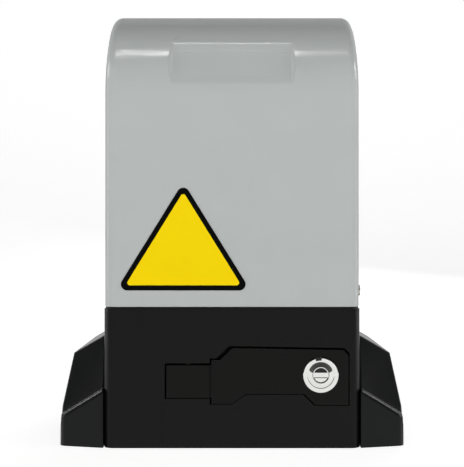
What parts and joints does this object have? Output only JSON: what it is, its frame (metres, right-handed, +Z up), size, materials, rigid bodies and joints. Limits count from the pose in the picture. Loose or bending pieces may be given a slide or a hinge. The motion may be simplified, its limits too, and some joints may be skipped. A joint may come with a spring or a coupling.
{
  "type": "sliding gate motor",
  "caption": "Motor for a sliding gate: arched grey cover over a black gear case with foot covers, a key-locked release lever, a worm drive and a rack pinion behind.",
  "frame": {"origin": "centre of the four anchor slots, on the bottom face of the base", "axes": "+Z up, +Y towards the rack and the gate, +X to the right for someone who faces the release lever"},
  "size_m": [0.2758, 0.247, 0.357],
  "materials": {
    "cover_plastic": "light grey moulded plastic with a fine satin grain",
    "warning_sheet": "yellow printed sheet with a black border",
    "black_casting": "black powder coat on an aluminium casting",
    "black_plastic": "black moulded plastic",
    "rubber_black": "black rubber",
    "black_arm": "black powder coat on a die-cast lever",
    "chromed": "polished chrome",
    "zinc_steel": "zinc plated steel",
    "bright_steel": "machined steel",
    "bronze": "machined bronze",
    "motor_aluminium": "cast aluminium",
    "stator_steel": "stacked steel sheets",
    "copper_wire": "lacquered copper wire",
    "board_green": "green circuit board",
    "terminal_plastic": "dark plastic parts on the board"
  },
  "bodies": {
    "housing": {"base_casting": "black_casting", "rear_flange": "black_casting", "right_foot_cover": "black_plastic", "left_foot_cover": "black_plastic", "limit_switch_housing": "black_plastic", "fuse_holder": "black_plastic", "run_capacitor": "black_plastic", "cover_seal": "rubber_black", "shaft_seal_and_grommet": "rubber_black", "lever_pivot_pin": "zinc_steel", "lock_strike": "zinc_steel", "flange_bolts": "zinc_steel", "motor_bolts": "zinc_steel", "control_bracket": "zinc_steel", "capacitor_clamp": "zinc_steel", "whisker_pivot_pin": "zinc_steel", "board_standoffs": "zinc_steel", "bearings": "bright_steel", "motor_lower_shield": "motor_aluminium", "motor_upper_shield": "motor_aluminium", "stator_core": "stator_steel", "stator_windings": "copper_wire", "control_board": "board_green", "terminal_blocks": "terminal_plastic", "relays": "terminal_plastic", "transformer": "terminal_plastic", "board_chips": "terminal_plastic", "limit_microswitches": "terminal_plastic"},
    "cover": {"cover_shell": "cover_plastic", "cover_screws": "zinc_steel", "warning_plate": "warning_sheet"},
    "lever": {"release_lever": "black_arm", "lock_barrel": "chromed", "lock_nut": "zinc_steel"},
    "lock_core": {"lock_plug": "chromed"},
    "push_rod": {"release_rod": "bright_steel"},
    "output": {"output_shaft": "bright_steel", "pinion_key": "bright_steel", "output_pinion": "bright_steel", "pinion_washer": "zinc_steel", "pinion_bolt": "zinc_steel", "clutch_spring": "bright_steel"},
    "wheel": {"worm_wheel": "bronze"},
    "clutch": {"clutch_dog": "bright_steel", "clutch_pin": "bright_steel"},
    "rotor": {"rotor_shaft": "bright_steel", "rotor_core": "bright_steel", "cooling_fan": "black_plastic"},
    "whisker": {"limit_whisker": "zinc_steel"}
  },
  "joints": [
    {"name": "cover_lift", "type": "slide", "parent": "housing", "child": "cover", "axis": [0, 0, 1], "range_m": [0, 0.25]},
    {"name": "lever_swing", "type": "hinge", "parent": "housing", "child": "lever", "pos_m": [-0.035, -0.081, 0.052], "axis": [0, 0, -1], "range_deg": [0, 90]},
    {"name": "key_turn", "type": "hinge", "parent": "lever", "child": "lock_core", "pos_m": [0.07, -0.09, 0.058], "axis": [0, -1, 0], "range_deg": [0, 90]},
    {"name": "rod_push", "type": "slide", "parent": "housing", "child": "push_rod", "axis": [0, 1, 0], "range_m": [0, 0.0061]},
    {"name": "output_spin", "type": "hinge", "parent": "housing", "child": "output", "pos_m": [-0.035, 0.119, 0.053], "axis": [0, 1, 0], "continuous": true},
    {"name": "wheel_spin", "type": "hinge", "parent": "housing", "child": "wheel", "pos_m": [-0.035, 0.008, 0.053], "axis": [0, 1, 0], "continuous": true},
    {"name": "clutch_slide", "type": "slide", "parent": "output", "child": "clutch", "axis": [0, 1, 0], "range_m": [0, 0.0061], "deforming": ["clutch_spring"]},
    {"name": "rotor_spin", "type": "hinge", "parent": "housing", "child": "rotor", "pos_m": [0.015, 0.008, 0.16], "axis": [0, 0, 1], "continuous": true},
    {"name": "whisker_swing", "type": "hinge", "parent": "housing", "child": "whisker", "pos_m": [-0.035, 0.075, 0.132], "axis": [0, 0, 1], "range_deg": [-35, 35], "stiffness_Nm_per_rad": 0.08}
  ],
  "couplings": [
    {"joint": "rod_push", "follows": "lever_swing", "m_per_rad": 0.0038197},
    {"joint": "clutch_slide", "follows": "lever_swing", "m_per_rad": 0.0038197},
    {"joint": "wheel_spin", "follows": "output_spin", "ratio": 1},
    {"joint": "rotor_spin", "follows": "output_spin", "ratio": 30}
  ]
}
